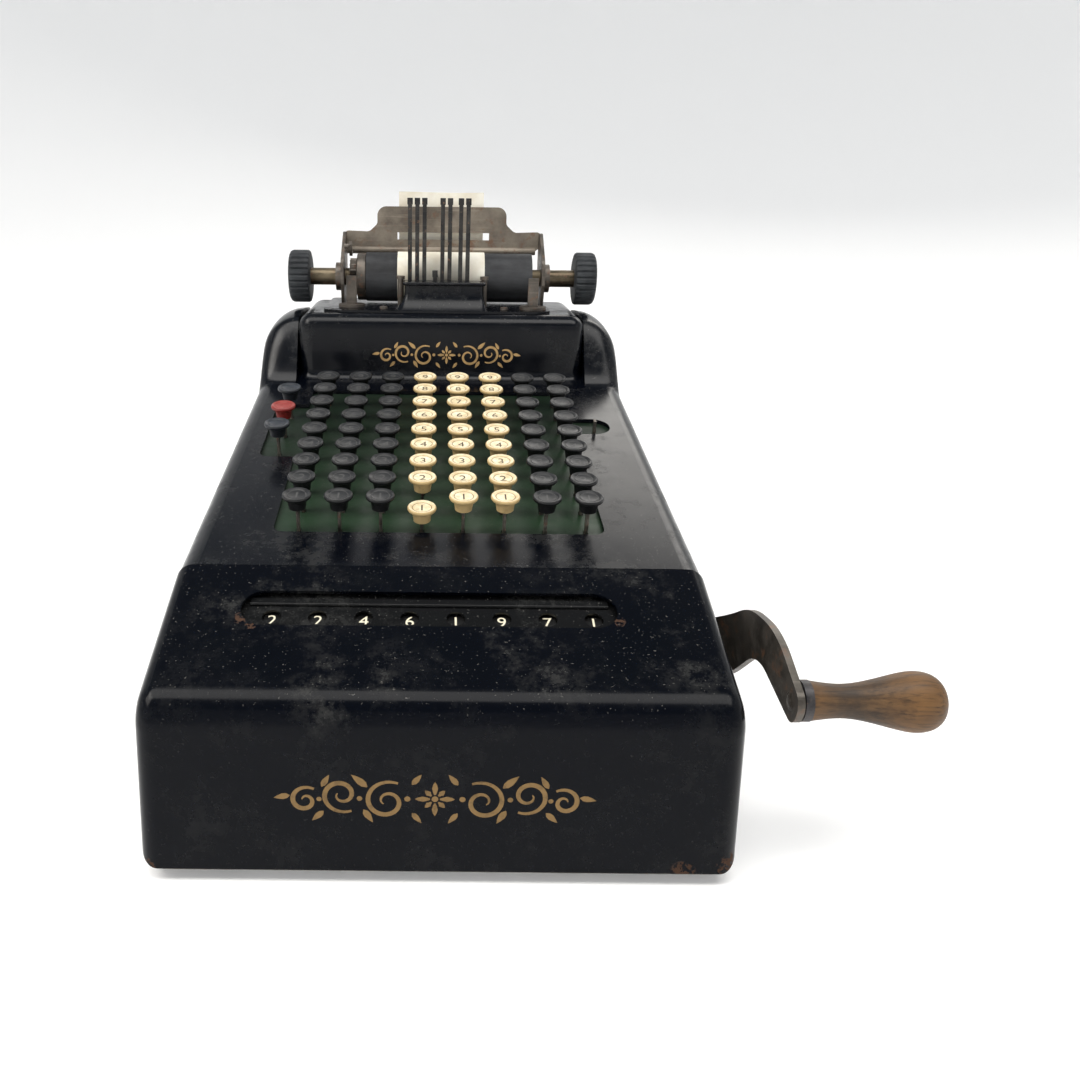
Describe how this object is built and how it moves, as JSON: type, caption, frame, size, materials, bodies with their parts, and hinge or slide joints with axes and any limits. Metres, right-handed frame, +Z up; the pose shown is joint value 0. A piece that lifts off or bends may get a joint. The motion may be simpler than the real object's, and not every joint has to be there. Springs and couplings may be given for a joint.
{
  "type": "mechanical adding machine",
  "caption": "Desk-top full-keyboard adding machine with sloping keyboard, dial windows, printing carriage and a side crank.",
  "frame": {"origin": "middle of the bounding box at table height; the case's own centreline lies 40.7 mm to the left of it, because the crank handle stands out on the right", "axes": "+X to the operator's right, +Y to the rear, +Z up"},
  "size_m": [0.3193, 0.396, 0.2566],
  "materials": {
    "black_enamel": "aged gloss",
    "dial_enamel": "satin",
    "base_steel": "dull",
    "foot_rubber": "matt",
    "green_enamel": "dusty gloss",
    "arm_steel": "tarnished",
    "ferrule_iron": "dark",
    "handle_wood": "worn",
    "bushing_bronze": "tarnished",
    "bracket_steel": "tarnished",
    "type_steel": "oiled",
    "wheel_black": "satin",
    "platen_rubber": "worn",
    "spindle_bronze": "tarnished",
    "ratchet_steel": "tarnished",
    "knob_black": "moulded",
    "table_steel": "rusted",
    "paper": "plain",
    "key_black": "worn gloss",
    "key_ivory": "yellowed gloss",
    "key_grey": "worn",
    "key_red": "worn",
    "stem_steel": "dull"
  },
  "bodies": {
    "machine": {"base_plate": "base_steel", "rubber_feet": "foot_rubber", "main_case": "black_enamel", "front_cover": "black_enamel", "dial_cover": "dial_enamel", "print_hood": "black_enamel", "hood_top_plate": "black_enamel", "keyboard_plate": "green_enamel", "hood_screws": "base_steel", "side_frame_left": "base_steel", "side_frame_right": "base_steel", "tie_rods": "base_steel", "wheel_shaft": "base_steel", "crank_bushing": "bushing_bronze", "type_guide": "black_enamel", "ribbon_posts": "bracket_steel", "carriage_side_left": "bracket_steel", "carriage_side_right": "bracket_steel", "carriage_posts": "bracket_steel", "paper_table": "table_steel", "paper_strip": "paper"},
    "crank": {"crank_shaft": "base_steel", "crank_arm": "arm_steel"},
    "handle": {"handle_ferrule": "ferrule_iron", "handle_grip": "handle_wood"},
    "platen": {"platen_roller": "platen_rubber", "platen_shaft": "spindle_bronze", "platen_knob_left": "knob_black", "platen_knob_right": "knob_black", "platen_ratchet": "ratchet_steel"},
    "pawl": {"ratchet_pawl": "bracket_steel"},
    "number_wheel_1": {"number_wheel_1": "wheel_black"},
    "number_wheel_2": {"number_wheel_2": "wheel_black"},
    "number_wheel_3": {"number_wheel_3": "wheel_black"},
    "number_wheel_4": {"number_wheel_4": "wheel_black"},
    "number_wheel_5": {"number_wheel_5": "wheel_black"},
    "number_wheel_6": {"number_wheel_6": "wheel_black"},
    "number_wheel_7": {"number_wheel_7": "wheel_black"},
    "number_wheel_8": {"number_wheel_8": "wheel_black"},
    "type_bar_1": {"type_bar_1": "type_steel"},
    "type_bar_2": {"type_bar_2": "type_steel"},
    "type_bar_3": {"type_bar_3": "type_steel"},
    "type_bar_4": {"type_bar_4": "type_steel"},
    "type_bar_5": {"type_bar_5": "type_steel"},
    "type_bar_6": {"type_bar_6": "type_steel"},
    "type_bar_7": {"type_bar_7": "type_steel"},
    "type_bar_8": {"type_bar_8": "type_steel"},
    "key_column_1": {"key_column_1": "key_black"},
    "key_column_2": {"key_column_2": "key_black"},
    "key_column_3": {"key_column_3": "key_black"},
    "key_column_4": {"key_column_4": "key_ivory"},
    "key_column_5": {"key_column_5": "key_ivory"},
    "key_column_6": {"key_column_6": "key_ivory"},
    "key_column_7": {"key_column_7": "key_black"},
    "key_column_8": {"key_column_8": "key_black"},
    "held_down_key": {"held_down_key": "key_ivory"},
    "control_key_rear": {"control_key_rear": "key_grey"},
    "control_key_red": {"control_key_red": "key_red"},
    "control_key_front": {"control_key_front": "key_grey"},
    "bare_key_stem": {"bare_key_stem": "stem_steel"}
  },
  "joints": [
    {"name": "crank_pull", "type": "hinge", "parent": "machine", "child": "crank", "pos_m": [0.08, -0.05, 0.025], "axis": [1, 0, 0], "range_deg": [-75, 0]},
    {"name": "handle_spin", "type": "hinge", "parent": "crank", "child": "handle", "pos_m": [0.11, -0.171, 0.069], "axis": [1, 0, 0], "continuous": true},
    {"name": "platen_spin", "type": "hinge", "parent": "machine", "child": "platen", "pos_m": [-0.04, 0.157, 0.203], "axis": [1, 0, 0], "continuous": true},
    {"name": "pawl_swing", "type": "hinge", "parent": "machine", "child": "pawl", "pos_m": [-0.1, 0.148, 0.223], "axis": [1, 0, 0], "range_deg": [0, 10], "stiffness_Nm_per_rad": 0.05, "springref_deg": -17.19},
    {"name": "wheel_1_spin", "type": "hinge", "parent": "machine", "child": "number_wheel_1", "pos_m": [-0.11058, -0.14262, 0.07732], "axis": [1, 0, 0], "continuous": true},
    {"name": "wheel_2_spin", "type": "hinge", "parent": "machine", "child": "number_wheel_2", "pos_m": [-0.09152, -0.14262, 0.07732], "axis": [1, 0, 0], "continuous": true},
    {"name": "wheel_3_spin", "type": "hinge", "parent": "machine", "child": "number_wheel_3", "pos_m": [-0.07247, -0.14262, 0.07732], "axis": [1, 0, 0], "continuous": true},
    {"name": "wheel_4_spin", "type": "hinge", "parent": "machine", "child": "number_wheel_4", "pos_m": [-0.05343, -0.14262, 0.07732], "axis": [1, 0, 0], "continuous": true},
    {"name": "wheel_5_spin", "type": "hinge", "parent": "machine", "child": "number_wheel_5", "pos_m": [-0.03438, -0.14262, 0.07732], "axis": [1, 0, 0], "continuous": true},
    {"name": "wheel_6_spin", "type": "hinge", "parent": "machine", "child": "number_wheel_6", "pos_m": [-0.01533, -0.14262, 0.07732], "axis": [1, 0, 0], "continuous": true},
    {"name": "wheel_7_spin", "type": "hinge", "parent": "machine", "child": "number_wheel_7", "pos_m": [0.00373, -0.14262, 0.07732], "axis": [1, 0, 0], "continuous": true},
    {"name": "wheel_8_spin", "type": "hinge", "parent": "machine", "child": "number_wheel_8", "pos_m": [0.02278, -0.14262, 0.07732], "axis": [1, 0, 0], "continuous": true},
    {"name": "type_bar_1_lift", "type": "slide", "parent": "machine", "child": "type_bar_1", "axis": [0, 0, 1], "range_m": [-0.0498, 0]},
    {"name": "type_bar_2_lift", "type": "slide", "parent": "machine", "child": "type_bar_2", "axis": [0, 0, 1], "range_m": [-0.0498, 0]},
    {"name": "type_bar_3_lift", "type": "slide", "parent": "machine", "child": "type_bar_3", "axis": [0, 0, 1], "range_m": [-0.0498, 0]},
    {"name": "type_bar_4_lift", "type": "slide", "parent": "machine", "child": "type_bar_4", "axis": [0, 0, 1], "range_m": [-0.0056, 0]},
    {"name": "type_bar_5_lift", "type": "slide", "parent": "machine", "child": "type_bar_5", "axis": [0, 0, 1], "range_m": [-0.0498, 0]},
    {"name": "type_bar_6_lift", "type": "slide", "parent": "machine", "child": "type_bar_6", "axis": [0, 0, 1], "range_m": [-0.0498, 0]},
    {"name": "type_bar_7_lift", "type": "slide", "parent": "machine", "child": "type_bar_7", "axis": [0, 0, 1], "range_m": [-0.0498, 0]},
    {"name": "type_bar_8_lift", "type": "slide", "parent": "machine", "child": "type_bar_8", "axis": [0, 0, 1], "range_m": [-0.0498, 0]},
    {"name": "key_column_1_press", "type": "slide", "parent": "machine", "child": "key_column_1", "axis": [0, -0.1752, 0.9845], "range_m": [-0.006, 0], "stiffness_N_per_m": 200, "springref_m": 0.004},
    {"name": "key_column_2_press", "type": "slide", "parent": "machine", "child": "key_column_2", "axis": [0, -0.1752, 0.9845], "range_m": [-0.006, 0], "stiffness_N_per_m": 200, "springref_m": 0.004},
    {"name": "key_column_3_press", "type": "slide", "parent": "machine", "child": "key_column_3", "axis": [0, -0.1752, 0.9845], "range_m": [-0.006, 0], "stiffness_N_per_m": 200, "springref_m": 0.004},
    {"name": "key_column_4_press", "type": "slide", "parent": "machine", "child": "key_column_4", "axis": [0, -0.1752, 0.9845], "range_m": [-0.006, 0], "stiffness_N_per_m": 200, "springref_m": 0.004},
    {"name": "key_column_5_press", "type": "slide", "parent": "machine", "child": "key_column_5", "axis": [0, -0.1752, 0.9845], "range_m": [-0.006, 0], "stiffness_N_per_m": 200, "springref_m": 0.004},
    {"name": "key_column_6_press", "type": "slide", "parent": "machine", "child": "key_column_6", "axis": [0, -0.1752, 0.9845], "range_m": [-0.006, 0], "stiffness_N_per_m": 200, "springref_m": 0.004},
    {"name": "key_column_7_press", "type": "slide", "parent": "machine", "child": "key_column_7", "axis": [0, -0.1752, 0.9845], "range_m": [-0.006, 0], "stiffness_N_per_m": 200, "springref_m": 0.004},
    {"name": "key_column_8_press", "type": "slide", "parent": "machine", "child": "key_column_8", "axis": [0, -0.1752, 0.9845], "range_m": [-0.006, 0], "stiffness_N_per_m": 200, "springref_m": 0.004},
    {"name": "held_key_release", "type": "slide", "parent": "machine", "child": "held_down_key", "axis": [0, -0.1752, 0.9845], "range_m": [0, 0.006]},
    {"name": "control_key_rear_press", "type": "slide", "parent": "machine", "child": "control_key_rear", "axis": [0, -0.1752, 0.9845], "range_m": [-0.006, 0], "stiffness_N_per_m": 80, "springref_m": 0.004},
    {"name": "control_key_red_press", "type": "slide", "parent": "machine", "child": "control_key_red", "axis": [0, -0.1752, 0.9845], "range_m": [-0.006, 0], "stiffness_N_per_m": 80, "springref_m": 0.004},
    {"name": "control_key_front_press", "type": "slide", "parent": "machine", "child": "control_key_front", "axis": [0, -0.1752, 0.9845], "range_m": [-0.006, 0], "stiffness_N_per_m": 80, "springref_m": 0.004},
    {"name": "bare_stem_press", "type": "slide", "parent": "machine", "child": "bare_key_stem", "axis": [0, -0.1752, 0.9845], "range_m": [-0.005, 0], "stiffness_N_per_m": 80, "springref_m": 0.004}
  ],
  "couplings": [
    {"joint": "type_bar_1_lift", "follows": "crank_pull", "m_per_rad": 0.038},
    {"joint": "type_bar_2_lift", "follows": "crank_pull", "m_per_rad": 0.038},
    {"joint": "type_bar_3_lift", "follows": "crank_pull", "m_per_rad": 0.038},
    {"joint": "type_bar_4_lift", "follows": "crank_pull", "m_per_rad": 0.0042},
    {"joint": "type_bar_5_lift", "follows": "crank_pull", "m_per_rad": 0.038},
    {"joint": "type_bar_6_lift", "follows": "crank_pull", "m_per_rad": 0.038},
    {"joint": "type_bar_7_lift", "follows": "crank_pull", "m_per_rad": 0.038},
    {"joint": "type_bar_8_lift", "follows": "crank_pull", "m_per_rad": 0.038}
  ]
}
